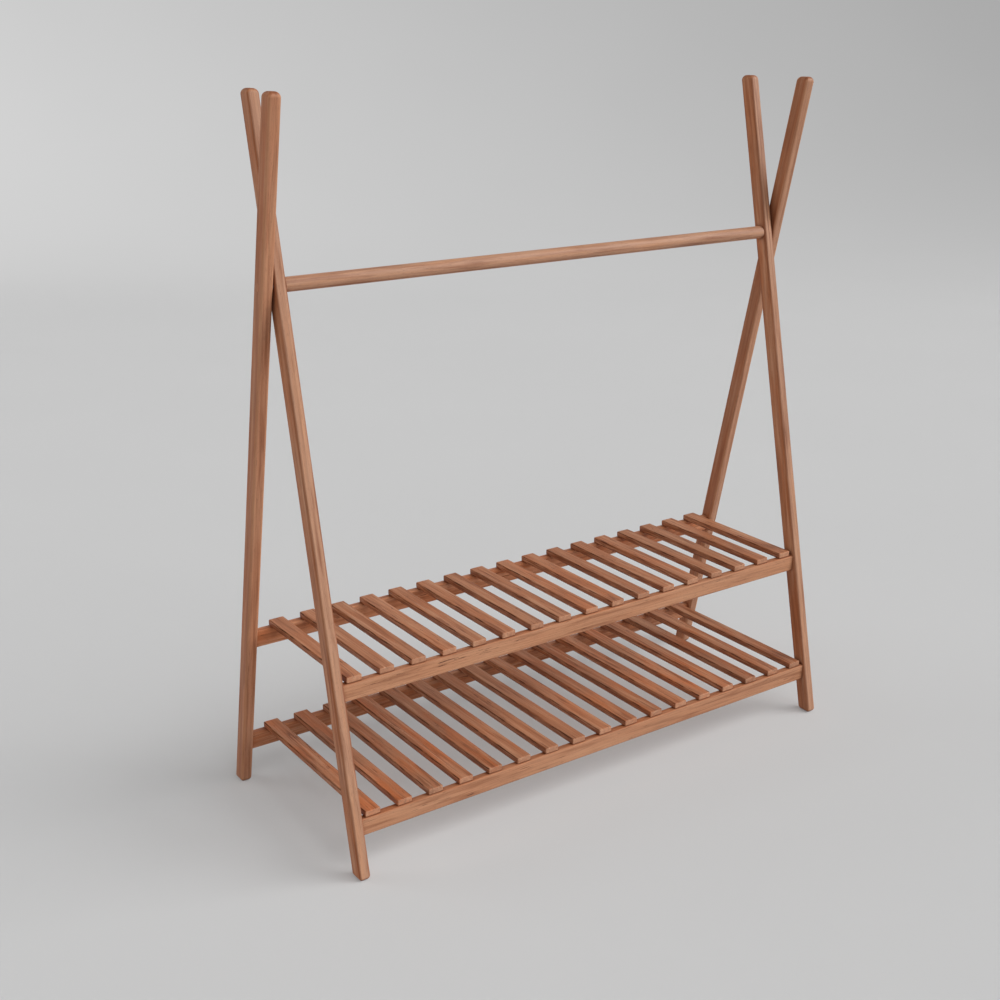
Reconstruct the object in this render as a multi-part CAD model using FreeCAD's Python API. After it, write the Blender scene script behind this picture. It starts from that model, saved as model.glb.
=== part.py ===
import FreeCAD, Part
import math
import os

# Open frame wardrobe in solid hardwood. Two pairs of crossed legs carry a round
# hanging rail on the line where they cross, and two slatted shelves tie the feet
# of the crosses together and hold them open. X runs along the length, +Y to the
# back and +Z up. The origin is on the floor under the middle of the wardrobe.
# All sizes are in millimetres.

# Whole wardrobe
OVERALL_HEIGHT = 1676.0  # floor to the tops of the legs
INNER_SPAN = 1382.0  # between the inner faces of the two front-foot legs

# Legs: the front-foot leg of each pair lies inside, the rear-foot leg outside it
LEG_THICKNESS = 28.0  # along X
LEG_WIDTH = 38.0  # across the leg, in the plane of the cross
LEG_EDGE_RADIUS = 6.5  # on the long edges and round the level-cut foot
LEG_TOP_RADIUS = 11.0  # round the level-cut top, which is almost a dome
LEG_GAP = 3.0  # between the two legs of a pair, held by a spacer on the bolt
FOOT_SPREAD = 550.0  # between the two leg centre lines at the floor
TOP_SPREAD = 168.0  # between the two leg centre lines at the top

# Hanging rail
HANGING_RAIL_DIAMETER = 32.0

# Shelves
UPPER_SHELF_HEIGHT = 451.0  # floor to the tops of the slats
LOWER_SHELF_HEIGHT = 150.0
SHELF_RAIL_HEIGHT = 42.0
SHELF_RAIL_THICKNESS = 20.0
SHELF_RAIL_EDGE_RADIUS = 4.0
SLAT_COUNT = 17  # on each shelf
SLAT_WIDTH = 39.0
SLAT_THICKNESS = 15.0
SLAT_EDGE_RADIUS = 3.0
SLAT_SETBACK = 3.0  # slat end behind the outer face of the rail under it
SLAT_TO_LEG_GAP = 10.0  # between an end slat and the front-foot leg beside it

# Bolts that clamp the crossed legs to the ends of the hanging rail
BOLT_DIAMETER = 8.0
BOLT_HEAD_DIAMETER = 13.0
BOLT_HEAD_HEIGHT = 8.0
BOLT_IN_RAIL = 32.0  # reach of the bolt into the end of the hanging rail
HEX_SOCKET_WIDTH = 6.0  # across the flats
HEX_SOCKET_DEPTH = 4.0
WASHER_DIAMETER = 18.0
WASHER_THICKNESS = 1.6
SPACER_DIAMETER = 20.0
INSERT_DIAMETER = 13.0  # threaded sleeve let into the end of the hanging rail
INSERT_LENGTH = 25.0
PLUG_THICKNESS = 5.0  # wooden plug that hides the bolt head

# Dowels
RAIL_DOWEL_DIAMETER = 8.0  # two at each end of a shelf rail
RAIL_DOWEL_DEPTH = 18.0  # into the leg, and as far into the rail
RAIL_DOWEL_SPACING = 20.0  # one above the other
SLAT_DOWEL_DIAMETER = 6.0  # one under each end of a slat
SLAT_DOWEL_IN_SLAT = 7.0
SLAT_DOWEL_IN_RAIL = 11.0
DOWEL_CHAMFER = 1.0

# Fits
GLUE_CLEARANCE = 0.1  # round a dowel, plug, washer or insert in its hole
BOLT_CLEARANCE = 0.3  # round the shank of a bolt
END_CLEARANCE = 0.5  # beyond the end of a dowel, bolt or bolt head
FILLET_SHARE = 0.45  # largest rounding, as a share of the wall it is on
CUT_OVERRUN = 1.0  # how far a cutting tool stands out of the wood

# Places that follow from the sizes
HALF_SPREAD_SUM = (FOOT_SPREAD + TOP_SPREAD) / 2
LEAN = math.degrees(math.atan2(HALF_SPREAD_SUM, OVERALL_HEIGHT))
CROSSING_HEIGHT = OVERALL_HEIGHT * FOOT_SPREAD / (FOOT_SPREAD + TOP_SPREAD)
INNER_FACE = INNER_SPAN / 2  # where the front-foot leg starts
GAP_FACE = INNER_FACE + LEG_THICKNESS  # where the front-foot leg ends
MIDDLE_FACE = GAP_FACE + LEG_GAP  # where the rear-foot leg starts
OUTER_FACE = MIDDLE_FACE + LEG_THICKNESS  # where the rear-foot leg ends
SLAT_PITCH = (INNER_SPAN - 2 * SLAT_TO_LEG_GAP - SLAT_WIDTH) / (SLAT_COUNT - 1)
COUNTERBORE_DEPTH = PLUG_THICKNESS + END_CLEARANCE + BOLT_HEAD_HEIGHT + WASHER_THICKNESS
BOLT_SEAT = OUTER_FACE - COUNTERBORE_DEPTH  # where the washer bears on the leg

X_AXIS = FreeCAD.Vector(1, 0, 0)
Y_AXIS = FreeCAD.Vector(0, 1, 0)
Z_AXIS = FreeCAD.Vector(0, 0, 1)
ORIGIN = FreeCAD.Vector(0, 0, 0)


def leg_centre(height):
    """Distance of both leg centre lines from the middle plane; it is negative above the crossing."""
    return FOOT_SPREAD / 2 - HALF_SPREAD_SUM * height / OVERALL_HEIGHT


def rail_middle(shelf_height):
    """Height of the middle of the rails that carry a shelf's slats."""
    return shelf_height - SLAT_THICKNESS - SHELF_RAIL_HEIGHT / 2


def slat_places():
    """The X of every slat's middle, from left to right."""
    first = -SLAT_PITCH * (SLAT_COUNT - 1) / 2
    return [first + number * SLAT_PITCH for number in range(SLAT_COUNT)]


def dowel_heights(shelf_height):
    """The heights of the two dowels at a rail's end."""
    middle = rail_middle(shelf_height)
    return [middle - RAIL_DOWEL_SPACING / 2, middle + RAIL_DOWEL_SPACING / 2]


def rounded_bar(size_x, size_y, length, radius):
    """A bar along Z, centred on the axis and standing on the XY plane, with round long edges."""
    corner = FreeCAD.Vector(-size_x / 2, -size_y / 2, 0)
    section = Part.makePlane(size_x, size_y, corner)
    rounding = min(radius, FILLET_SHARE * min(size_x, size_y))
    bar = section.extrude(Z_AXIS * length)
    long_edges = [edge for edge in bar.Edges if edge.BoundBox.ZLength > rounding]
    return bar.makeFillet(rounding, long_edges)


def pin(start, direction, radius, length):
    """A plain round solid, used for holes."""
    return Part.makeCylinder(radius, length, start, direction)


def turned(outline, start, direction):
    """A turned piece: an outline of (distance along the axis, radius) points, spun about the axis."""
    points = [FreeCAD.Vector(radius, 0, along) for along, radius in outline]
    face = Part.Face(Part.makePolygon(points + points[:1]))
    solid = face.revolve(ORIGIN, Z_AXIS, 360)
    solid.Placement = FreeCAD.Placement(start, FreeCAD.Rotation(Z_AXIS, direction))
    return solid


def dowel(start, direction, diameter, length):
    """A wooden dowel with chamfered ends."""
    radius = diameter / 2
    outline = [
        (0, 0),
        (0, radius - DOWEL_CHAMFER),
        (DOWEL_CHAMFER, radius),
        (length - DOWEL_CHAMFER, radius),
        (length, radius - DOWEL_CHAMFER),
        (length, 0),
    ]
    return turned(outline, start, direction)


def rounded_leg(leg):
    """The leg with every edge rounded, those round its top more than the rest."""
    widest = FILLET_SHARE * min(LEG_THICKNESS, LEG_WIDTH)
    radii = []
    for number, edge in enumerate(leg.Edges, start=1):
        at_top = edge.BoundBox.ZMin > CROSSING_HEIGHT
        radius = min(LEG_TOP_RADIUS if at_top else LEG_EDGE_RADIUS, widest)
        radii.append((number, radius, radius))
    bench = FreeCAD.newDocument("bench")
    square = bench.addObject("Part::Feature", "square")
    square.Shape = leg
    eased = bench.addObject("Part::Fillet", "eased")
    eased.Base = square
    eased.Edges = radii
    bench.recompute()
    finished = eased.Shape.Solids[0]
    FreeCAD.closeDocument(bench.Name)
    return finished


def leg_blank(inner_face, foot):
    """A right-hand leg before boring. It leans through the crossing; foot is -1 for front, 1 for rear."""
    reach = OVERALL_HEIGHT / math.cos(math.radians(LEAN)) + LEG_WIDTH
    corner = FreeCAD.Vector(inner_face, -LEG_WIDTH / 2, -reach)
    leg = Part.makeBox(LEG_THICKNESS, LEG_WIDTH, 2 * reach, corner)
    leg.rotate(ORIGIN, X_AXIS, foot * LEAN)
    leg.translate(FreeCAD.Vector(0, 0, CROSSING_HEIGHT))
    depth = FOOT_SPREAD + TOP_SPREAD + 2 * LEG_WIDTH
    room = Part.makeBox(OUTER_FACE, depth, OVERALL_HEIGHT, FreeCAD.Vector(0, -depth / 2, 0))
    return rounded_leg(leg.common(room).Solids[0])


def leg_dowel_holes(inner_face, foot):
    """Blind holes in a right-hand leg's inner face for the dowels of both shelves' rails."""
    holes = []
    for shelf_height in (UPPER_SHELF_HEIGHT, LOWER_SHELF_HEIGHT):
        y = foot * leg_centre(rail_middle(shelf_height))
        for z in dowel_heights(shelf_height):
            start = FreeCAD.Vector(inner_face - CUT_OVERRUN, y, z)
            depth = RAIL_DOWEL_DEPTH + END_CLEARANCE + CUT_OVERRUN
            holes.append(pin(start, X_AXIS, RAIL_DOWEL_DIAMETER / 2 + GLUE_CLEARANCE, depth))
    return holes


def bolt_hole():
    """The clearance hole for the right-hand bolt, through both legs of the pair."""
    start = FreeCAD.Vector(INNER_FACE - CUT_OVERRUN, 0, CROSSING_HEIGHT)
    return pin(start, X_AXIS, BOLT_DIAMETER / 2 + BOLT_CLEARANCE, OUTER_FACE - INNER_FACE + 2 * CUT_OVERRUN)


def front_leg():
    """The right-hand inner leg, with its foot at the front."""
    return leg_blank(INNER_FACE, -1).cut(leg_dowel_holes(INNER_FACE, -1) + [bolt_hole()])


def rear_leg():
    """The right-hand outer leg, with its foot at the rear and a counterbore for the bolt head."""
    seat = FreeCAD.Vector(BOLT_SEAT, 0, CROSSING_HEIGHT)
    radius = WASHER_DIAMETER / 2 + GLUE_CLEARANCE
    counterbore = pin(seat, X_AXIS, radius, COUNTERBORE_DEPTH + CUT_OVERRUN)
    return leg_blank(MIDDLE_FACE, 1).cut(leg_dowel_holes(MIDDLE_FACE, 1) + [bolt_hole(), counterbore])


def mirrored(solid):
    """The left-hand twin of a right-hand piece."""
    return solid.mirror(ORIGIN, X_AXIS)


def hanging_rail():
    """The round rail between the inner faces of the front-foot legs, bored at both ends for its inserts."""
    start = FreeCAD.Vector(-INNER_FACE, 0, CROSSING_HEIGHT)
    rail = pin(start, X_AXIS, HANGING_RAIL_DIAMETER / 2, INNER_SPAN)
    bores = []
    for side in (-1, 1):
        mouth = FreeCAD.Vector(side * (INNER_FACE + CUT_OVERRUN), 0, CROSSING_HEIGHT)
        inward = X_AXIS * -side
        bores.append(pin(mouth, inward, INSERT_DIAMETER / 2 + GLUE_CLEARANCE, INSERT_LENGTH + CUT_OVERRUN))
        tip_depth = BOLT_IN_RAIL + END_CLEARANCE + CUT_OVERRUN
        bores.append(pin(mouth, inward, BOLT_DIAMETER / 2 + BOLT_CLEARANCE, tip_depth))
    return rail.cut(bores)


def cross_bolt():
    """The right-hand socket-head bolt, from the washer in the outer leg into the hanging rail."""
    head_face = BOLT_SEAT + WASHER_THICKNESS + BOLT_HEAD_HEIGHT
    tip = INNER_FACE - BOLT_IN_RAIL
    length = head_face - tip
    outline = [
        (0, 0),
        (0, BOLT_HEAD_DIAMETER / 2),
        (BOLT_HEAD_HEIGHT, BOLT_HEAD_DIAMETER / 2),
        (BOLT_HEAD_HEIGHT, BOLT_DIAMETER / 2),
        (length, BOLT_DIAMETER / 2),
        (length, 0),
    ]
    bolt = turned(outline, FreeCAD.Vector(head_face, 0, CROSSING_HEIGHT), X_AXIS * -1)
    corner_radius = HEX_SOCKET_WIDTH / math.sqrt(3)
    corners = []
    for corner in range(7):
        angle = math.radians(60 * corner)
        y = corner_radius * math.cos(angle)
        z = CROSSING_HEIGHT + corner_radius * math.sin(angle)
        corners.append(FreeCAD.Vector(head_face - HEX_SOCKET_DEPTH, y, z))
    socket = Part.Face(Part.makePolygon(corners)).extrude(X_AXIS * (HEX_SOCKET_DEPTH + CUT_OVERRUN))
    return bolt.cut(socket)


def ring(start, outer_diameter, thickness):
    """A sleeve or washer round the right-hand bolt, reaching towards +X from its start."""
    centre = FreeCAD.Vector(start, 0, CROSSING_HEIGHT)
    body = pin(centre, X_AXIS, outer_diameter / 2, thickness)
    return body.cut(pin(centre, X_AXIS, BOLT_DIAMETER / 2 + GLUE_CLEARANCE, thickness))


def plug():
    """The wooden disc that closes the right-hand counterbore, flush with the outer leg."""
    start = FreeCAD.Vector(OUTER_FACE - PLUG_THICKNESS, 0, CROSSING_HEIGHT)
    return pin(start, X_AXIS, WASHER_DIAMETER / 2, PLUG_THICKNESS)


def shelf_rail(half_length, side, shelf_height):
    """A rail along X under the slat ends, bored for its end dowels and slat dowels; side is -1 in front."""
    y = side * leg_centre(rail_middle(shelf_height))
    middle = rail_middle(shelf_height)
    rail = rounded_bar(SHELF_RAIL_HEIGHT, SHELF_RAIL_THICKNESS, 2 * half_length, SHELF_RAIL_EDGE_RADIUS)
    rail.rotate(ORIGIN, Y_AXIS, 90)
    rail.translate(FreeCAD.Vector(-half_length, y, middle))
    holes = []
    for end in (-1, 1):
        for z in dowel_heights(shelf_height):
            start = FreeCAD.Vector(end * (half_length + CUT_OVERRUN), y, z)
            depth = RAIL_DOWEL_DEPTH + END_CLEARANCE + CUT_OVERRUN
            holes.append(pin(start, X_AXIS * -end, RAIL_DOWEL_DIAMETER / 2 + GLUE_CLEARANCE, depth))
    top = middle + SHELF_RAIL_HEIGHT / 2
    for x in slat_places():
        start = FreeCAD.Vector(x, y, top + CUT_OVERRUN)
        depth = SLAT_DOWEL_IN_RAIL + END_CLEARANCE + CUT_OVERRUN
        holes.append(pin(start, Z_AXIS * -1, SLAT_DOWEL_DIAMETER / 2 + GLUE_CLEARANCE, depth))
    return rail.cut(holes)


def slat(shelf_height):
    """The slat at the middle of a shelf, with every edge eased and a blind hole under each end."""
    rail_y = leg_centre(rail_middle(shelf_height))
    half_length = rail_y + SHELF_RAIL_THICKNESS / 2 - SLAT_SETBACK
    underside = shelf_height - SLAT_THICKNESS
    corner = FreeCAD.Vector(-SLAT_WIDTH / 2, -half_length, underside)
    board = Part.makeBox(SLAT_WIDTH, 2 * half_length, SLAT_THICKNESS, corner)
    board = board.makeFillet(min(SLAT_EDGE_RADIUS, FILLET_SHARE * SLAT_THICKNESS), board.Edges)
    holes = []
    for side in (-1, 1):
        start = FreeCAD.Vector(0, side * rail_y, underside - CUT_OVERRUN)
        depth = SLAT_DOWEL_IN_SLAT + END_CLEARANCE + CUT_OVERRUN
        holes.append(pin(start, Z_AXIS, SLAT_DOWEL_DIAMETER / 2 + GLUE_CLEARANCE, depth))
    return board.cut(holes)


def rail_dowels(shelf_height):
    """The dowels between a shelf's two rails and the four legs, two at each rail end."""
    made = []
    for side, face in ((-1, INNER_FACE), (1, MIDDLE_FACE)):
        y = side * leg_centre(rail_middle(shelf_height))
        for end in (-1, 1):
            for z in dowel_heights(shelf_height):
                start = FreeCAD.Vector(end * (face + RAIL_DOWEL_DEPTH), y, z)
                made.append(dowel(start, X_AXIS * -end, RAIL_DOWEL_DIAMETER, 2 * RAIL_DOWEL_DEPTH))
    return Part.makeCompound(made)


def slat_dowels(shelf_height):
    """The upright dowels that pin every slat of a shelf to the rails under it."""
    rail_y = leg_centre(rail_middle(shelf_height))
    start_height = shelf_height - SLAT_THICKNESS - SLAT_DOWEL_IN_RAIL
    length = SLAT_DOWEL_IN_RAIL + SLAT_DOWEL_IN_SLAT
    made = []
    for x in slat_places():
        for side in (-1, 1):
            start = FreeCAD.Vector(x, side * rail_y, start_height)
            made.append(dowel(start, Z_AXIS, SLAT_DOWEL_DIAMETER, length))
    return Part.makeCompound(made)


def pair(solid):
    """A right-hand piece and its left-hand twin as one group."""
    return Part.makeCompound([solid, mirrored(solid)])


def frame_nodes():
    """The legs, the hanging rail and what clamps them together."""
    right_front = front_leg()
    right_rear = rear_leg()
    return {
        "left_front_leg": mirrored(right_front),
        "left_rear_leg": mirrored(right_rear),
        "right_front_leg": right_front,
        "right_rear_leg": right_rear,
        "hanging_rail": hanging_rail(),
        "cross_bolts": pair(cross_bolt()),
        "cross_washers": pair(ring(BOLT_SEAT, WASHER_DIAMETER, WASHER_THICKNESS)),
        "cross_spacers": pair(ring(GAP_FACE, SPACER_DIAMETER, LEG_GAP)),
        "rail_inserts": pair(ring(INNER_FACE - INSERT_LENGTH, INSERT_DIAMETER, INSERT_LENGTH)),
        "bolt_plugs": pair(plug()),
    }


def shelf_nodes(shelf, shelf_height):
    """The rails, slats and dowels of one shelf, named after it."""
    made = {
        shelf + "_front_rail": shelf_rail(INNER_FACE, -1, shelf_height),
        shelf + "_rear_rail": shelf_rail(MIDDLE_FACE, 1, shelf_height),
        shelf + "_rail_dowels": rail_dowels(shelf_height),
        shelf + "_slat_dowels": slat_dowels(shelf_height),
    }
    board = slat(shelf_height)
    for number, x in enumerate(slat_places(), start=1):
        made[f"{shelf}_slat_{number:02d}"] = board.translated(FreeCAD.Vector(x, 0, 0))
    return made


nodes = frame_nodes()
nodes.update(shelf_nodes("upper", UPPER_SHELF_HEIGHT))
nodes.update(shelf_nodes("lower", LOWER_SHELF_HEIGHT))
os.makedirs("parts", exist_ok=True)
for name, shape in nodes.items():
    shape.exportStep(f"parts/{name}.step")
print(len(nodes), "nodes, leg lean", round(LEAN, 2), "degrees, crossing at", round(CROSSING_HEIGHT, 1))
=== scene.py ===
# %% [markdown]
# An open frame wardrobe: two pairs of crossed legs carry a round hanging rail, and two
# slatted shelves tie the crosses together near the floor. Everything that shows is one
# reddish hardwood with a satin oil finish. But for the feet, the boards already have their
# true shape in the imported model, so this lesson spends its care on the wood: every board
# gets its own piece of a log, with rings, streaks, veins, pores and end grain.

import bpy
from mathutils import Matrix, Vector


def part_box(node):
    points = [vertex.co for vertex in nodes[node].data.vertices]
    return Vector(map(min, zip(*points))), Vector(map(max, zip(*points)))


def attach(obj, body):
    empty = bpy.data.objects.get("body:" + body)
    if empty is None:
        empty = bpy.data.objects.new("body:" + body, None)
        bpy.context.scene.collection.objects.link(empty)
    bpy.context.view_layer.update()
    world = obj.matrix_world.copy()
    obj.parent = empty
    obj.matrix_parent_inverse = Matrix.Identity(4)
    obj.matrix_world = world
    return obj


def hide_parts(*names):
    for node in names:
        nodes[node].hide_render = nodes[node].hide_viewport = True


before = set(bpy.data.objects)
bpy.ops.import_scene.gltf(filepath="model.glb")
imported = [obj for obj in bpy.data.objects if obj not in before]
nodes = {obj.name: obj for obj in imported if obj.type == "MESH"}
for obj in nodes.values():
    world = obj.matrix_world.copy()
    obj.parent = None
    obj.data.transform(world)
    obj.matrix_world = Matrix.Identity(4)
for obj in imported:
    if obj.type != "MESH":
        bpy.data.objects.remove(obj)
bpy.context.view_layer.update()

# %% [markdown]
# The lesson needs Blender's own module, bmesh for cutting a mesh, numpy for whole arrays of
# points, and vectors from mathutils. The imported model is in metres, but a woodworker thinks
# in millimetres, so MM turns one into the other wherever a size of the wood is written.

# %% Modules and units
import math

import bmesh
import bpy
import numpy as np
from mathutils import Euler, Vector

scene = bpy.context.scene
MM = 0.001
print(len(nodes), "pieces came with the model")

# %% [markdown]
# A material in Blender is a graph of nodes. Wiring each node by hand takes many lines, so a
# small recipe class does it: every method adds one node, plugs in its inputs and hands back
# the output, and a formula then reads like a formula. An input may be an output of another
# node, which is linked, or a plain number or colour, which is set on the socket.

# %% A recipe: one material under construction


class Recipe:
    """A material with its Principled shader, and short calls that add nodes to it."""

    def __init__(self, name):
        self.material = bpy.data.materials.new(name)
        self.material.use_nodes = True
        self.tree = self.material.node_tree
        self.shader = self.tree.nodes["Principled BSDF"]

    def plug(self, socket, value):
        """Links an output to the socket, or sets a plain value on it."""
        if isinstance(value, bpy.types.NodeSocket):
            self.tree.links.new(value, socket)
        elif value is not None:
            socket.default_value = value

    def add(self, kind, inputs, output=0, **settings):
        """Adds a node of one kind, with its settings and its inputs by place or by name."""
        node = self.tree.nodes.new("ShaderNode" + kind)
        for setting, value in settings.items():
            setattr(node, setting, value)
        for place, value in inputs.items():
            self.plug(node.inputs[place], value)
        return node.outputs[output]

    def math(self, operation, a, b=None, c=None):
        """One number from up to three numbers."""
        return self.add("Math", {0: a, 1: b, 2: c}, operation=operation)

    def vector(self, operation, a, b=None, c=None, output=0):
        """One vector, or the number that it gives, from up to three vectors."""
        return self.add("VectorMath", {0: a, 1: b, 2: c}, output, operation=operation)

    def noise(self, place, detail=2.0, roughness=0.5):
        """Soft noise about 0.5 at a place that is already stretched to the pattern's size."""
        inputs = {"Vector": place, "Scale": 1.0, "Detail": detail, "Roughness": roughness}
        return self.add("TexNoise", inputs)

    def ease(self, value, low, high, to_low=0.0, to_high=1.0):
        """Carries low..high softly onto to_low..to_high, and stays there outside."""
        inputs = {0: value, 1: low, 2: high, 3: to_low, 4: to_high}
        return self.add("MapRange", inputs, interpolation_type="SMOOTHSTEP")

    def mix(self, share, a, b):
        """Colour a with a share of colour b over it."""
        return self.add("Mix", {0: share, 6: a, 7: b}, 2, data_type="RGBA")

    def finish(self, **sockets):
        """Plugs values into the shader's sockets, named with _ for a space."""
        for name, value in sockets.items():
            self.plug(self.shader.inputs[name.replace("_", " ")], value)
        return self.material


print("recipes are ready")

# %% [markdown]
# A board is cut out of a log, so its figure is a solid thing: the same grain runs through
# its top, its sides and its ends. A picture wrapped round the board would break at every
# edge, so the material is solid too. A Mapping node carries each surface point into the
# board's own frame, in millimetres from its middle, with the third axis along the grain.
# Noise that is squeezed across the grain and drawn out along it then looks like wood, and a
# far-off start for each noise makes every board a different piece of the log.

# %% The board's own frame
luck = np.random.default_rng(41)
FAR_OFF = 500.0


def board_place(recipe, centre, turn):
    """Surface points in the board's frame: millimetres from its centre, grain along Z."""
    place = recipe.add("TexCoord", {}, "Object")
    inputs = {"Vector": place, "Location": centre, "Rotation": turn, "Scale": (MM, MM, MM)}
    return recipe.add("Mapping", inputs, vector_type="TEXTURE")


def grain(recipe, place, across, along, detail=2.0, roughness=0.5):
    """Noise whose spots are so many millimetres wide across the grain and so many long."""
    size = (1 / across, 1 / across, 1 / along)
    start = luck.uniform(-FAR_OFF, FAR_OFF, 3).tolist()
    return recipe.noise(recipe.vector("MULTIPLY_ADD", place, size, start), detail, roughness)


print("boards have a frame of their own")

# %% [markdown]
# A tree adds a ring each year: pale early wood that darkens slowly into late wood and then
# stops. The rings are the distance from the pith, the log's middle line, which lies a few
# centimetres beside the board. The pith leans a little against the board, as it does in any
# sawn log, and that is what draws the pointed arches on a flat-sawn face. Sizes of a noise
# are given in pairs, here and below: millimetres across the grain, then along it.

# %% Growth rings
PITH_DISTANCE = (28.0, 95.0)
PITH_LEAN = 0.02
RING_WIDTH = (5.0, 10.0)
RING_BEND = 24.0
BEND_SIZE = (45.0, 420.0)
LATE_WOOD = (0.15, 0.88)
YEAR_END = (1.0, 0.93)
FAINTEST_RING = 0.25


def growth_rings(recipe, place):
    """Dark late wood at the end of each year, as a saw-tooth of the distance from the pith.

    The distance is that of the point from a leaning line; slow noise bends it, and a random
    weight for each whole year makes some rings bolder than others."""
    angle = luck.uniform(0, 2 * math.pi)
    away = luck.uniform(*PITH_DISTANCE)
    pith = (away * math.cos(angle), away * math.sin(angle), 0.0)
    lean = (*luck.uniform(-PITH_LEAN, PITH_LEAN, 2).tolist(), 0.0)
    height = recipe.vector("DOT_PRODUCT", place, (0.0, 0.0, 1.0), output="Value")
    leaned = recipe.vector("MULTIPLY_ADD", height, lean, recipe.vector("SUBTRACT", place, pith))
    flat = recipe.vector("MULTIPLY", leaned, (1.0, 1.0, 0.0))
    distance = recipe.vector("LENGTH", flat, output="Value")
    bend = grain(recipe, place, *BEND_SIZE, detail=3.0)
    bent = recipe.math("MULTIPLY_ADD", bend, RING_BEND, distance)
    years = recipe.math("DIVIDE", bent, luck.uniform(*RING_WIDTH))
    within = recipe.math("FRACT", years)
    late = recipe.math("MULTIPLY", recipe.ease(within, *LATE_WOOD), recipe.ease(within, *YEAR_END))
    weight = recipe.add("TexWhiteNoise", {"W": recipe.math("FLOOR", years)}, noise_dimensions="1D")
    return recipe.math("MULTIPLY", late, recipe.ease(weight, 0.0, 1.0, FAINTEST_RING, 1.0))


print("growth rings are ready")

# %% [markdown]
# Finer than the rings are the marks that show on an oiled board from a step away: dark veins
# that wander along it, and short open checks. A vein could be painted as a curve, but a
# contour line does it in one formula: wherever a slow noise passes through its middle value,
# there is a thin line, and since the noise is drawn out along the grain, so is the line.

# %% Veins and checks
VEIN_HALF_WIDTH = 0.055
VEIN_SIZE, VEIN_PATCH_SIZE = (15.0, 380.0), (12.0, 130.0)
CHECK_PATCH_SIZE = (22.0, 160.0)


def veins(recipe, place):
    """Thin dark lines where a slow noise passes one half, kept only where a second one is high."""
    slow = grain(recipe, place, *VEIN_SIZE)
    off_line = recipe.math("ABSOLUTE", recipe.math("SUBTRACT", slow, 0.5))
    line = recipe.ease(off_line, VEIN_HALF_WIDTH, 0.0)
    patch = grain(recipe, place, *VEIN_PATCH_SIZE)
    return recipe.math("MULTIPLY", line, recipe.ease(patch, 0.46, 0.62))


def checks(recipe, place, stroke):
    """Short dark cracks: the rare high spots of a noise of strokes, where a slow one is high too."""
    patch = grain(recipe, place, *CHECK_PATCH_SIZE)
    return recipe.math("MULTIPLY", recipe.ease(stroke, 0.64, 0.71), recipe.ease(patch, 0.46, 0.58))


print("veins and checks are ready")

# %% [markdown]
# Hands, hangers and cloths rub the rounded edges, and the sawn ends drink more oil than the
# planed faces. The flanks get a painted shade, a darker tone, the faces that look towards the
# front light get a painted sheen, a paler tone, and the seams where two boards meet get a
# painted shade too. An edge is where a point lies inside the rounding on two axes of the
# board's frame at once, and a face is told by which way it looks. Seams could be painted one
# by one, but the Ambient Occlusion node finds them all: it is the share of the space just
# over a point that no other surface fills.

# %% Rubbed edges, faces and painted seam shade
# painted seam shade: how far the Ambient Occlusion node looks, how dark it paints, and its samples
SEAM_REACH = 12.0
SEAM_SPAN = (0.92, 0.45)
SEAM_DARK = 0.85
SEAM_SAMPLES = 4
FACE_SPAN = (0.5, 0.95)


def rubbed_edge(recipe, place, half, rounding):
    """1 on the crest of a rounded long edge and 0 on the flats beside it.

    It is the product of how far a point has gone into the rounding from either side."""
    inward = recipe.vector("ABSOLUTE", place)
    depth = recipe.vector("SUBTRACT", inward, (half[0] - rounding, half[1] - rounding, 0.0))
    first = recipe.vector("DOT_PRODUCT", depth, (1.0, 0.0, 0.0), output="Value")
    second = recipe.vector("DOT_PRODUCT", depth, (0.0, 1.0, 0.0), output="Value")
    first, second = recipe.math("MAXIMUM", first, 0.0), recipe.math("MAXIMUM", second, 0.0)
    return recipe.ease(recipe.math("MULTIPLY", first, second), 0.0, 0.5 * rounding ** 2)


def facing(recipe, way, low, high):
    """1 where the surface faces a way and 0 where it doesn't, from the dot product of the two."""
    normal = recipe.add("TexCoord", {}, "Normal")
    square = recipe.vector("DOT_PRODUCT", normal, way, output="Value")
    return recipe.ease(square, low, high)


def either_way(recipe, turn, axis):
    """1 on the two faces across one axis of the board's frame, and 0 on the others."""
    way = Euler(turn).to_matrix() @ Vector(axis)
    return recipe.math("MAXIMUM", facing(recipe, way, *FACE_SPAN), facing(recipe, -way, *FACE_SPAN))


def seam(recipe):
    """Painted shade in a seam: darkest where about half of the space over the point is filled."""
    inputs = {"Distance": SEAM_REACH * MM}
    open_share = recipe.add("AmbientOcclusion", inputs, "AO", samples=SEAM_SAMPLES)
    return recipe.ease(open_share, *SEAM_SPAN, 0.0, SEAM_DARK)


print("edges, faces and seams are ready")

# %% [markdown]
# Now one board's colour. One colour ramp over one noise could give it, but real wood has
# marks of many sizes. So it is laid on as a stainer would: a body tone with warm clouds in
# it, light and dark bands and streaks, then rings, fibres and veins in the late-wood tone,
# and pores and checks in the darkest.

# %% The colour of one board
CLOUD_SIZE, BAND_SIZE, STREAK_SIZE = (32.0, 150.0), (12.0, 200.0), (5.5, 240.0)
PORE_SHARE = 0.35


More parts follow.
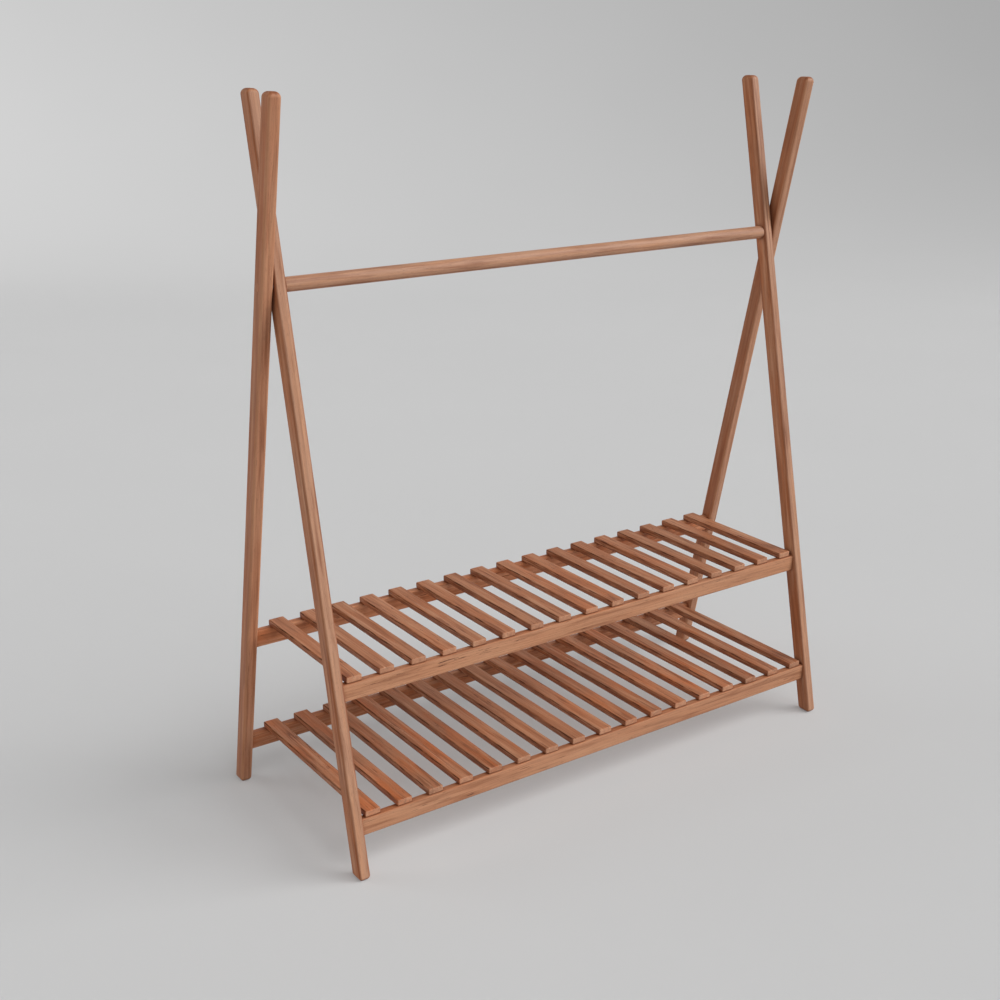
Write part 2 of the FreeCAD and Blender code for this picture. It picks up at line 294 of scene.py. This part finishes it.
def board_colour(recipe, place, marks, paled, tones):
    """The tones laid over one another, each by the share that its own noise gives."""
    cloud = grain(recipe, place, *CLOUD_SIZE)
    band = grain(recipe, place, *BAND_SIZE)
    streak = grain(recipe, place, *STREAK_SIZE)
    colour = recipe.mix(recipe.ease(cloud, 0.36, 0.66), tones["body"], tones["warm"])
    # painted sheen: a paler tone on the faces towards the front light
    colour = recipe.mix(recipe.math("MULTIPLY", paled, tones["paled_share"]), colour, tones["paled"])
    colour = recipe.mix(recipe.ease(band, 0.48, 0.74, 0.0, 0.80), colour, tones["light"])
    colour = recipe.mix(recipe.ease(band, 0.48, 0.26, 0.0, 0.52), colour, tones["late"])
    line = tones["line_share"]
    colour = recipe.mix(recipe.ease(streak, 0.50, 0.74, 0.0, 0.8 * line), colour, tones["light"])
    colour = recipe.mix(recipe.ease(streak, 0.46, 0.26, 0.0, 0.75 * line), colour, tones["late"])
    rings = recipe.math("MULTIPLY", marks["rings"], tones["ring_share"])
    colour = recipe.mix(rings, colour, tones["late"])
    colour = recipe.mix(recipe.ease(marks["fibre"], 0.50, 0.80, 0.0, line), colour, tones["late"])
    vein = recipe.math("MULTIPLY", marks["vein"], tones["vein_share"])
    colour = recipe.mix(vein, colour, tones["late"])
    colour = recipe.mix(recipe.math("MULTIPLY", marks["pore"], PORE_SHARE), colour, tones["pore"])
    check = recipe.math("MULTIPLY", marks["check"], tones["check_share"])
    return recipe.mix(check, colour, tones["pore"])


print("the colour of a board is ready")

# %% [markdown]
# The finish adds what the board's form and use decide, sawn ends and rubbed edges, and then
# the painted shade on the flanks and in the seams. Where a board asks for it, dark strokes run
# along its worn edges, and the painted shade on its flanks comes in patches of late wood. The
# oil could be equally smooth all over, but the same fibres and pores that the eye sees also
# roughen it and dent it, so that light breaks over the grain.

# %% The finish of one board
FIBRE_SIZE, PORE_SIZE, STROKE_SIZE = (1.5, 75.0), (0.7, 11.0), (2.6, 44.0)
SATIN = 0.38
SHEEN_LEVEL = 0.25
DENT_STRENGTH, DENT_DEPTH = 0.5, 0.25


def board_wood(name, centre, turn, half, rounding, tones):
    """The finish of one board, from its frame, its half sizes in millimetres and its tones."""
    recipe = Recipe(name)
    place = board_place(recipe, centre, turn)
    marks = {
        "rings": growth_rings(recipe, place),
        "fibre": grain(recipe, place, *FIBRE_SIZE, detail=3.0, roughness=0.6),
        "pore": recipe.ease(grain(recipe, place, *PORE_SIZE), 0.60, 0.70),
        "vein": veins(recipe, place),
        "stroke": grain(recipe, place, *STROKE_SIZE),
    }
    marks["check"] = checks(recipe, place, marks["stroke"])
    # painted sheen: the faces towards the front light, told by their normal
    paled = facing(recipe, tones["paled_way"], *tones["paled_span"])
    colour = board_colour(recipe, place, marks, paled, tones)
    end = either_way(recipe, turn, (0, 0, 1))
    colour = recipe.mix(recipe.math("MULTIPLY", end, tones["end_share"]), colour, tones["end"])
    ragged = tones["ragged_share"]
    patch = recipe.ease(marks["stroke"], 0.36, 0.64, 1.0 - ragged, 1.0 + ragged)
    # painted shade: the flanks, the faces across X, go towards the late-wood tone in patches
    flank = recipe.math("MULTIPLY", either_way(recipe, turn, (1, 0, 0)), tones["flank_share"])
    colour = recipe.mix(recipe.math("MULTIPLY", flank, patch), colour, tones["late"])
    edge = rubbed_edge(recipe, place, half, rounding)
    rubbed = recipe.math("MULTIPLY", edge, recipe.ease(marks["fibre"], 0.30, 0.62, 0.15, 0.5))
    colour = recipe.mix(rubbed, colour, tones["edge"])
    worn = recipe.math("MULTIPLY", edge, recipe.ease(marks["stroke"], 0.48, 0.59, 0.0, ragged))
    colour = recipe.mix(worn, colour, tones["pore"])
    # painted shade in the seams, found by the Ambient Occlusion node
    colour = recipe.mix(seam(recipe), colour, tones["late"])

    rough = recipe.math("MULTIPLY_ADD", marks["fibre"], 0.18, SATIN)
    rough = recipe.math("MULTIPLY_ADD", end, 0.15, rough)
    rough = recipe.math("MULTIPLY_ADD", edge, 0.2, rough)
    relief = recipe.math("MULTIPLY", marks["fibre"], 0.7)
    relief = recipe.math("MULTIPLY_ADD", marks["pore"], -0.6, relief)
    relief = recipe.math("MULTIPLY_ADD", marks["check"], -1.2, relief)
    relief = recipe.math("MULTIPLY_ADD", marks["rings"], -0.25, relief)
    dents = {"Strength": DENT_STRENGTH, "Distance": DENT_DEPTH * MM, "Height": relief}
    looks = {"Base_Color": colour, "Roughness": rough, "Normal": recipe.add("Bump", dents)}
    return recipe.finish(**looks, Specular_IOR_Level=SHEEN_LEVEL)


print("the finish of a board is ready")

# %% [markdown]
# The tones are written as they look on a screen, 0 to 255, because that is how a colour is
# read off a real board; shaders work in linear light, so they are carried over first. One
# palette serves the whole rack. A board may be lighter or darker as a whole, more or less
# orange, and each kind of board says which tone its rubbed edges and sawn ends go towards,
# and how strongly each mark shows on it: those are its shares, from 0 to 1.

# %% Tones
BODY, LIGHT, PALE = (178, 119, 85), (198, 146, 112), (192, 152, 126)
LATE, PORE = (122, 68, 41), (70, 33, 17)
BROWN_WARM, ORANGE_WARM = np.array([174.0, 112.0, 76.0]), np.array([189.0, 104.0, 57.0])
# the way that the painted sheen faces: towards the front light
TO_ROOM = (0.0, -1.0, 0.0)


def linear(red, green, blue):
    """A display colour of 0 to 255 as the linear light that a shader works in."""
    share = np.array([red, green, blue]) / 255
    light = np.where(share <= 0.04045, share / 12.92, ((share + 0.055) / 1.055) ** 2.4)
    return (*light.tolist(), 1.0)


def wood_tones(shade, orange, edge="late", end="light", paled="pale", **shares):
    """One board's tones; shade darkens them all and orange, 0 to 1, tints the warm clouds."""
    warm = BROWN_WARM + orange * (ORANGE_WARM - BROWN_WARM)
    written = {"body": BODY, "warm": warm, "light": LIGHT, "pale": PALE, "late": LATE, "pore": PORE}
    tones = {"ring_share": 0.28, "vein_share": 0.7, "check_share": 0.7, "end_share": 0.3}
    tones.update(line_share=0.4, ragged_share=0.0, flank_share=0.0)
    tones.update(paled_share=0.0, paled_way=TO_ROOM, paled_span=(0.55, 0.98))
    for name, display in written.items():
        red, green, blue, _ = linear(*display)
        tones[name] = (red * shade, green * shade, blue * shade, 1.0)
    tones["edge"] = tones[edge]
    tones["end"] = tones[end]
    tones["paled"] = tones[paled]
    tones.update(shares)
    return tones


print("body tone in linear light:", [round(part, 3) for part in linear(*BODY)[:3]])

# %% [markdown]
# The slats are the boards that differ most from one another: each has its own shade, some
# lean to orange and some to brown. The grain runs from front to back, so the board frame is
# turned until its third axis lies along Y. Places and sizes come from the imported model, and
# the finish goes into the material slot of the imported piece, which keeps its mesh.

# %% Slats
SLAT_ROUNDING = 3.0
ALONG_Y = (-math.pi / 2, 0.0, 0.0)


def middle_and_size(node):
    """A node's middle, in metres, and its size along X, Y and Z, in millimetres."""
    low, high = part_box(node)
    return tuple((low + high) / 2), (high - low) / MM


def dress(node, material):
    """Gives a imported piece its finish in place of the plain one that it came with."""
    slots = nodes[node].data.materials
    slots.clear()
    slots.append(material)


slat_names = sorted(name for name in nodes if "_slat_" in name and not name.endswith("dowels"))
for name in slat_names:
    centre, size = middle_and_size(name)
    half = (size.x / 2, size.z / 2, size.y / 2)
    darkest, most_orange = (1.00, 0.35) if name.startswith("upper") else (0.84, 0.85)
    shade, orange = luck.uniform(darkest, 1.16), luck.uniform(0.0, most_orange)
    shares = {"vein_share": 0.8, "check_share": 0.95, "line_share": 0.3, "ragged_share": 0.9}
    # painted shade on the slats' flanks, which stand in the narrow gaps
    tones = wood_tones(shade, orange, end="pale", **shares, end_share=0.35, flank_share=0.42)
    dress(name, board_wood(name + "_wood", centre, ALONG_Y, half, SLAT_ROUNDING, tones))
print(len(slat_names), "slats dressed")

# %% [markdown]
# The four shelf rails stand on edge under the slat ends and carry them, with their grain
# along X. They could share one finish, but then the same vein would show four times. They
# come from one batch of straight, calm boards, so they differ less than the slats do. The two
# in front get a painted sheen, a paler tone on the faces towards the front light, and the two
# at the rear, in the shade under the slats, are painted lighter as a whole.

# %% Shelf rails
RAIL_ROUNDING = 4.0
RAIL_PALED = 0.72
ALONG_X = (0.0, math.pi / 2, 0.0)
# the rear rails are painted lighter as a whole, against the shade they stand in under the slats
RAIL_SHADES = {
    "upper_front_rail": 1.02,
    "lower_front_rail": 1.00,
    "upper_rear_rail": 1.28,
    "lower_rear_rail": 1.10,
}

rail_names = sorted(name for name in nodes if name.endswith(("front_rail", "rear_rail")))
for name in rail_names:
    centre, size = middle_and_size(name)
    half = (size.z / 2, size.y / 2, size.x / 2)
    # painted sheen on the front rails only
    paled = RAIL_PALED if "front" in name else 0.0
    shares = {"ring_share": 0.2, "vein_share": 0.4, "check_share": 0.85, "paled_share": paled}
    tones = wood_tones(RAIL_SHADES[name], 0.4, "body", paled="light", **shares)
    dress(name, board_wood(name + "_wood", centre, ALONG_X, half, RAIL_ROUNDING, tones))
print(len(rail_names), "shelf rails dressed")

# %% [markdown]
# The hanging rail is a turned pole, and hangers polish it all along. It has no edges to rub,
# so its rounding is next to nothing. It could be stained evenly, but it gets a painted sheen:
# a pale tone on the side towards the front light and up, which fades out slowly round it,
# over a wide span.

# %% Hanging rail
NO_EDGE = 0.01
TO_ROOM_AND_UP = (0.0, -0.94, 0.34)

centre, size = middle_and_size("hanging_rail")
half = (size.z / 2, size.y / 2, size.x / 2)
# painted sheen on the pole, towards the front light and up, over a wide span
shares = {"ring_share": 0.15, "vein_share": 0.3, "check_share": 0.3, "paled_share": 0.7}
tones = wood_tones(1.03, 0.1, **shares, paled_way=TO_ROOM_AND_UP, paled_span=(0.1, 0.7))
dress("hanging_rail", board_wood("hanging_rail_wood", centre, ALONG_X, half, NO_EDGE, tones))
print("hanging rail dressed, diameter", round(size.z, 1), "mm")

# %% [markdown]
# The legs lean through the crossing, and their grain has to lean with them. The lean isn't in
# the frame. It could be typed in, but a leg is a straight bar, so the line that fits all of
# its points best is its centre line, and the slope of that line is the lean.

# %% Centre line of a leg


def mesh_points(mesh):
    """All points of a mesh as an array, with one row of X, Y and Z for each."""
    points = np.empty(3 * len(mesh.vertices))
    mesh.vertices.foreach_get("co", points)
    return points.reshape(-1, 3)


def centre_line(name):
    """Slope and start of the line y = slope * z + start that fits a leg's points best."""
    points = mesh_points(nodes[name].data)
    slope, start = np.polyfit(points[:, 2], points[:, 1], 1)
    return float(slope), float(start)


leg_names = sorted(name for name in nodes if name.endswith("_leg"))
for name in leg_names:
    print(name, "leans", round(math.degrees(math.atan(centre_line(name)[0])), 2), "degrees")

# %% [markdown]
# The feet are rounded off like the tops, so that no corner splits when the rack is dragged.
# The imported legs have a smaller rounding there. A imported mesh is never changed, so each leg
# gets a stand-in: a copy that is cut level a few times just above the floor, and whose rings
# are then drawn in towards the centre line along a larger quarter circle. A Weighted Normal
# modifier lets the large faces decide the shading, so the long flats still look flat.

# %% Rounder feet
LEG_WIDTH = 38.0
LEG_ROUNDING = 6.5
FOOT_ROUNDING = 11.0
FOOT_RINGS = 9
SAME_POINT, ON_PLANE = 0.001 * MM, 0.01 * MM
SHARP = math.radians(40)


def drawn_in(height, rounding):
    """How far a quarter circle that stands on the floor lies inside its upright tangent."""
    below = np.clip(rounding - height, 0.0, rounding)
    return rounding - np.sqrt(rounding ** 2 - below ** 2)


def ringed_copy(name):
    """A leg's mesh, merged, with level rings of edges where its foot is to be rounded."""
    shape = bmesh.new()
    shape.from_mesh(nodes[name].data)
    bmesh.ops.remove_doubles(shape, verts=shape.verts, dist=SAME_POINT)
    for angle in np.linspace(0, np.pi / 2, FOOT_RINGS)[1:]:
        level = (0, 0, FOOT_ROUNDING * MM * (1 - math.cos(angle)))
        whole = shape.verts[:] + shape.edges[:] + shape.faces[:]
        bmesh.ops.bisect_plane(shape, geom=whole, dist=ON_PLANE, plane_co=level, plane_no=(0, 0, 1))
    mesh = bpy.data.meshes.new(name + "_round_foot")
    shape.to_mesh(mesh)
    shape.free()
    return mesh


def round_footed(name):
    """A leg on a rounder foot: at each height, x and y shrink towards the centre line by the
    share (half size - new quarter circle) / (half size - old quarter circle)."""
    mesh = ringed_copy(name)
    points = mesh_points(mesh)
    centre, size = middle_and_size(name)
    slope, start = centre_line(name)
    middle = np.stack([np.full(len(points), centre[0]), slope * points[:, 2] + start], axis=-1)
    half = np.array([size.x, LEG_WIDTH * math.hypot(1, slope)]) / 2
    height = points[:, 2:] / MM
    share = (half - drawn_in(height, FOOT_ROUNDING)) / (half - drawn_in(height, LEG_ROUNDING))
    points[:, :2] = middle + (points[:, :2] - middle) * share
    mesh.vertices.foreach_set("co", points.ravel())
    mesh.attributes.remove(mesh.attributes["custom_normal"])
    mesh.shade_smooth()
    mesh.set_sharp_from_angle(angle=SHARP)
    leg = bpy.data.objects.new(name + "_round_foot", mesh)
    scene.collection.objects.link(leg)
    leg.modifiers.new("flats_decide", "WEIGHTED_NORMAL").keep_sharp = True
    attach(leg, "root")
    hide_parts(name)
    return leg


legs = {name: round_footed(name) for name in leg_names}
print("round feet on", len(legs), "legs, of", len(legs[leg_names[0]].data.polygons), "faces each")

# %% [markdown]
# Each leg's finish has three numbers: how light the leg is as a whole, how strong the painted
# sheen is on the face towards the front light, and how strong the painted shade is on the
# flanks. The tops, which every passing hand rubs, go towards the dark late wood. The front
# pair's edges go that way too, and those of the rear pair go towards the light tone.

# %% Legs
# each leg: shade, share of painted sheen, share of painted shade on the flanks
LEG_LOOKS = {
    "left_front_leg": (1.04, 0.72, 0.02),
    "right_front_leg": (1.01, 0.68, 0.03),
    "left_rear_leg": (1.10, 0.33, 0.18),
    "right_rear_leg": (1.05, 0.57, 0.36),
}

for name in leg_names:
    centre, size = middle_and_size(name)
    half = (size.x / 2, LEG_WIDTH / 2, size.z / 2)
    turn = (-math.atan(centre_line(name)[0]), 0.0, 0.0)
    edge = "late" if "front" in name else "light"
    shade, paled, flank = LEG_LOOKS[name]
    shares = {"vein_share": 0.35, "check_share": 0.35, "end_share": 0.5}
    tones = wood_tones(shade, 0.3, edge, "late", **shares, paled_share=paled, flank_share=flank)
    wood = board_wood(name + "_wood", centre, turn, half, LEG_ROUNDING, tones)
    legs[name].data.materials.append(wood)
print(len(legs), "legs dressed")

# %% [markdown]
# Small wooden pieces close the holes: plugs of the same wood over the bolt heads, and pale
# beech dowels between the boards. A plain colour would do for what is hidden, but the recipe
# is there already, so they take it too, the dowels with paler tones.

# %% Plugs and dowels
UPRIGHT = (0.0, 0.0, 0.0)
BEECH_BODY, BEECH_LATE = (206, 176, 134), (168, 128, 88)

centre, size = middle_and_size("bolt_plugs")
tones = wood_tones(0.98, 0.3)
dress("bolt_plugs", board_wood("bolt_plugs_wood", centre, UPRIGHT, size / 2, NO_EDGE, tones))

beech = wood_tones(1.0, 0.0, ring_share=0.1, vein_share=0.2, check_share=0.0, end_share=0.0)
for tone in ("body", "warm", "light", "paled", "edge", "end"):
    beech[tone] = linear(*BEECH_BODY)
for tone in ("late", "pore"):
    beech[tone] = linear(*BEECH_LATE)
dowel_names = sorted(name for name in nodes if name.endswith("_dowels"))
for name in dowel_names:
    centre, size = middle_and_size(name)
    turn = ALONG_X if "rail" in name else UPRIGHT
    dress(name, board_wood(name + "_wood", centre, turn, size / 2, NO_EDGE, beech))
print("plugs and", len(dowel_names), "groups of dowels dressed")

# %% [markdown]
# The bolts, washers, spacers and threaded inserts are zinc-plated steel. The plating is a
# bright grey metal whose crystals make it cloudy, and the lathe leaves fine lines round it.
# The lines could be cut into the mesh, but they are finer than a hair, so a bump shows them.

# %% Zinc-plated steel
ZINC_PALE, ZINC_DARK = linear(196, 198, 202), linear(170, 174, 182)
CRYSTAL_SIZE = (4.0, 4.0)
LATHE_LINES = (9.0, 0.6, 0.6)


def zinc(name):
    """A cloudy metal: slow noise shifts its colour and roughness, fine noise cuts lathe lines."""
    recipe = Recipe(name)
    place = board_place(recipe, (0.0, 0.0, 0.0), UPRIGHT)
    cloud = grain(recipe, place, *CRYSTAL_SIZE)
    lines = recipe.noise(recipe.vector("MULTIPLY", place, LATHE_LINES))
    colour = recipe.mix(cloud, ZINC_PALE, ZINC_DARK)
    rough = recipe.ease(cloud, 0.3, 0.7, 0.28, 0.42)
    bump = recipe.add("Bump", {"Strength": 0.2, "Distance": 0.05 * MM, "Height": lines})
    return recipe.finish(Base_Color=colour, Metallic=1.0, Roughness=rough, Normal=bump)


steel_names = ("cross_bolts", "cross_washers", "cross_spacers", "rail_inserts")
for name in steel_names:
    dress(name, zinc(name + "_zinc"))
print(len(steel_names), "groups of steel pieces dressed")

# %% [markdown]
# The camera stands to the left of the rack at eye level and looks a little down on it.
# It could be moved by hand until the picture looks right, but a few edges decide it better:
# its place and turn were solved from the rack's own edges as they appear in a photograph.

# %% Camera
CAMERA_PLACE = (-1.96787, -2.63295, 1.79268)
CAMERA_DOWN = 0.32800
CAMERA_RIGHT = 0.60692
LENS = 50
SENSOR = 36

camera_data = bpy.data.cameras.new("eye_level_camera")
camera_data.lens = LENS
camera_data.sensor_width = SENSOR
camera = bpy.data.objects.new("eye_level_camera", camera_data)
camera.location = CAMERA_PLACE
camera.rotation_euler = (math.pi / 2 - CAMERA_DOWN, 0, -CAMERA_RIGHT)
scene.collection.objects.link(camera)
scene.camera = camera
print("the camera looks", round(math.degrees(CAMERA_DOWN), 1), "degrees down")

# %% [markdown]
# A photographer lays paper on the floor and lets it curve up into a wall, so that no corner
# shows. A floor and a wall would do, but a line would show where they meet. So the profile
# is two straight runs joined by a quarter circle, and it is carried straight across, square
# to the camera.

# %% Studio sweep
FLOOR_FRONT = -30.0
FLOOR_BACK = 7.0
SWEEP_RADIUS = 3.0
WALL_TOP = 9.0
SWEEP_HALF_WIDTH = 30.0
CURVE_POINTS, ACROSS_POINTS = 25, 13
ACROSS = (math.cos(CAMERA_RIGHT), -math.sin(CAMERA_RIGHT), 0.0)
AWAY = (math.sin(CAMERA_RIGHT), math.cos(CAMERA_RIGHT), 0.0)


def studio_sweep():
    """The point at u along the profile and v across is v * ACROSS + depth(u) * AWAY + height(u) * Z;
    the curve is that of a quarter circle: depth goes by its sine and height by 1 - its cosine."""
    angle = np.linspace(0, np.pi / 2, CURVE_POINTS)
    curve = FLOOR_BACK + SWEEP_RADIUS * np.sin(angle)
    depth = np.concatenate(([FLOOR_FRONT], curve, curve[-1:]))
    height = np.concatenate(([0.0], SWEEP_RADIUS * (1 - np.cos(angle)), [WALL_TOP]))
    across = np.linspace(-SWEEP_HALF_WIDTH, SWEEP_HALF_WIDTH, ACROSS_POINTS)
    points = across[None, :, None] * np.array(ACROSS) + depth[:, None, None] * np.array(AWAY)
    points = points + height[:, None, None] * np.array([0.0, 0.0, 1.0])
    rows, columns = len(depth), len(across)
    first = (np.arange(rows - 1)[:, None] * columns + np.arange(columns - 1)).ravel()
    faces = np.stack([first, first + 1, first + columns + 1, first + columns], axis=-1)
    mesh = bpy.data.meshes.new("studio_sweep")
    mesh.from_pydata(points.reshape(-1, 3).tolist(), [], faces.tolist())
    mesh.shade_smooth()
    sweep = bpy.data.objects.new("studio_sweep", mesh)
    scene.collection.objects.link(sweep)
    return sweep


sweep = studio_sweep()
print("the sweep has", len(sweep.data.polygons), "faces")

# %% [markdown]
# A pale backdrop could be had with more light, but that light would fall on the rack too.
# The Light Path node gives another way: it tells which kind of ray asks for a colour. So the
# backdrop can show a fixed grey to the camera, and to gloss and glass that mirror it, and
# still be plain paper to the light that bounces.

# %% Rays that see the backdrop


def seen_straight(tree):
    """1 for rays from the camera and for those that gloss and glass pass on, otherwise 0."""
    ray = tree.nodes.new("ShaderNodeLightPath").outputs
    share = ray["Is Camera Ray"]
    for other in ("Is Glossy Ray", "Is Transmission Ray"):
        either = tree.nodes.new("ShaderNodeMath")
        either.operation = "MAXIMUM"
        tree.links.new(share, either.inputs[0])
        tree.links.new(ray[other], either.inputs[1])
        share = either.outputs[0]
    return share


print("the backdrop can tell which rays see it")

# %% [markdown]
# The paper is a plain pale grey. Part of that grey is fixed for the camera: on the floor it
# fills the shadow a little, as the light of a white room does, and up on the wall it is all
# that shows. The wall also falls from a light left to a dark right; one lamp for that would
# also light the rack, so the fall is painted, by the place across, away and up. Outside the
# camera's frame it fades back to plain grey, so that the wall is as pale from elsewhere.

# %% Paper
PAPER = linear(220, 220, 220)
PLAIN_LIGHT = 0.771
FLOOR_FIXED = 0.3
SIDE_FALL = 0.045
WALL_GLOW = 1.03
WALL_FALL = 0.056
FALL_REACH = (11.0, 5.0)
FALL_TOP = (6.0, 2.5)
SIDE_SPAN, GLOW_SPAN, FIXED_SPAN = (5.5, 9.7), (5.0, 8.2), (5.0, 8.0)
SPECK = 0.004

paper = Recipe("studio_paper")
place = paper.add("TexCoord", {}, "Object")
across = paper.vector("DOT_PRODUCT", place, ACROSS, output="Value")
away = paper.vector("DOT_PRODUCT", place, AWAY, output="Value")
up = paper.vector("DOT_PRODUCT", place, (0.0, 0.0, 1.0), output="Value")
in_frame = paper.ease(paper.math("ABSOLUTE", across), *FALL_REACH)
in_frame = paper.math("MULTIPLY", in_frame, paper.ease(up, *FALL_TOP))
sideways = paper.math("MULTIPLY", paper.ease(away, *SIDE_SPAN, 0.0, -SIDE_FALL), across)
glow = paper.math("MULTIPLY_ADD", up, -WALL_FALL, paper.ease(away, *GLOW_SPAN, 1.0, WALL_GLOW))
speck = paper.ease(paper.noise(place), 0.3, 0.7, -SPECK, SPECK)
fall = paper.math("SUBTRACT", paper.math("MULTIPLY_ADD", sideways, glow, glow), 1.0)
shade = paper.math("ADD", paper.math("MULTIPLY_ADD", fall, in_frame, 1.0), speck)
tint = paper.vector("SCALE", PAPER[:3])
paper.plug(tint.node.inputs["Scale"], shade)
paper.finish(Base_Color=tint, Roughness=0.9, Specular_IOR_Level=0.0)

fixed = paper.add("Emission", {"Color": tint, "Strength": PLAIN_LIGHT})
share = paper.ease(away, *FIXED_SPAN, FLOOR_FIXED, 1.0)
share = paper.math("MULTIPLY", seen_straight(paper.tree), share)
both = paper.add("MixShader", {0: share, 1: paper.shader.outputs[0], 2: fixed})
paper.plug(paper.tree.nodes["Material Output"].inputs["Surface"], both)
sweep.data.materials.append(paper.material)
print("the paper is", round(PAPER[0], 3), "in linear light")

# %% [markdown]
# The light is that of a small studio: a big softbox on the right draws the shadow out to the
# left, one high in front lights the tops, a weak one stands beside the camera, and a low one
# at the left rear opens the shaded sides. That one grazes the boards and would glare on their
# oil, so it is kept out of the gloss. Area lamps could do it, but their light falls off with
# the distance; a sun with a wide angle is as soft, and lights every board alike.

# %% Softboxes
SOFTBOX_SPREAD = 40


def softbox(name, azimuth, height, strength):
    """A far, wide light: azimuth from +X to +Y and height, in degrees; strength 1 is plain."""
    data = bpy.data.lights.new(name, "SUN")
    data.energy = strength * math.pi
    data.angle = math.radians(SOFTBOX_SPREAD)
    lamp = bpy.data.objects.new(name, data)
    around, raised = math.radians(azimuth), math.radians(height)
    level = math.cos(raised)
    towards = Vector((math.cos(around) * level, math.sin(around) * level, math.sin(raised)))
    lamp.rotation_euler = towards.to_track_quat("Z", "Y").to_euler()
    scene.collection.objects.link(lamp)
    return lamp


right = softbox("right_softbox", -35, 30, 0.66)
high = softbox("high_softbox", -80, 52, 0.25)
beside_camera = softbox("camera_softbox", -125, 30, 0.085)
left_rear = softbox("left_rear_softbox", 135, 10, 0.36)
left_rear.visible_glossy = False
whole = sum(lamp.data.energy for lamp in (right, high, beside_camera, left_rear)) / math.pi
print("four softboxes, of strength", round(whole, 2), "together, light the rack")

# %% [markdown]
# A little light comes from all round, as from the ceiling and walls of a room. More lamps
# could give it, but a World does it in one step. With the softboxes it lights a level
# surface at a plain strength, so colours come out about as they are written. Rays that see
# the World straight find a plain grey instead, which goes on where the paper ends.

# %% Air
AIR_STRENGTH = 0.15
BACKGROUND = linear(196, 196, 196)


def studio_air():
    """A world that lights evenly, but shows plain grey to the camera, to gloss and to glass."""
    world = bpy.data.worlds.new("studio_air")
    world.use_nodes = True
    tree = world.node_tree
    air = tree.nodes["Background"]
    air.inputs["Color"].default_value = (1, 1, 1, 1)
    air.inputs["Strength"].default_value = AIR_STRENGTH
    grey = tree.nodes.new("ShaderNodeBackground")
    grey.inputs["Color"].default_value = BACKGROUND
    choice = tree.nodes.new("ShaderNodeMixShader")
    tree.links.new(seen_straight(tree), choice.inputs[0])
    tree.links.new(air.outputs[0], choice.inputs[1])
    tree.links.new(grey.outputs[0], choice.inputs[2])
    tree.links.new(choice.outputs[0], tree.nodes["World Output"].inputs["Surface"])
    return world


scene.world = studio_air()
scene.view_settings.view_transform = "Standard"
print("the air adds a strength of", AIR_STRENGTH)
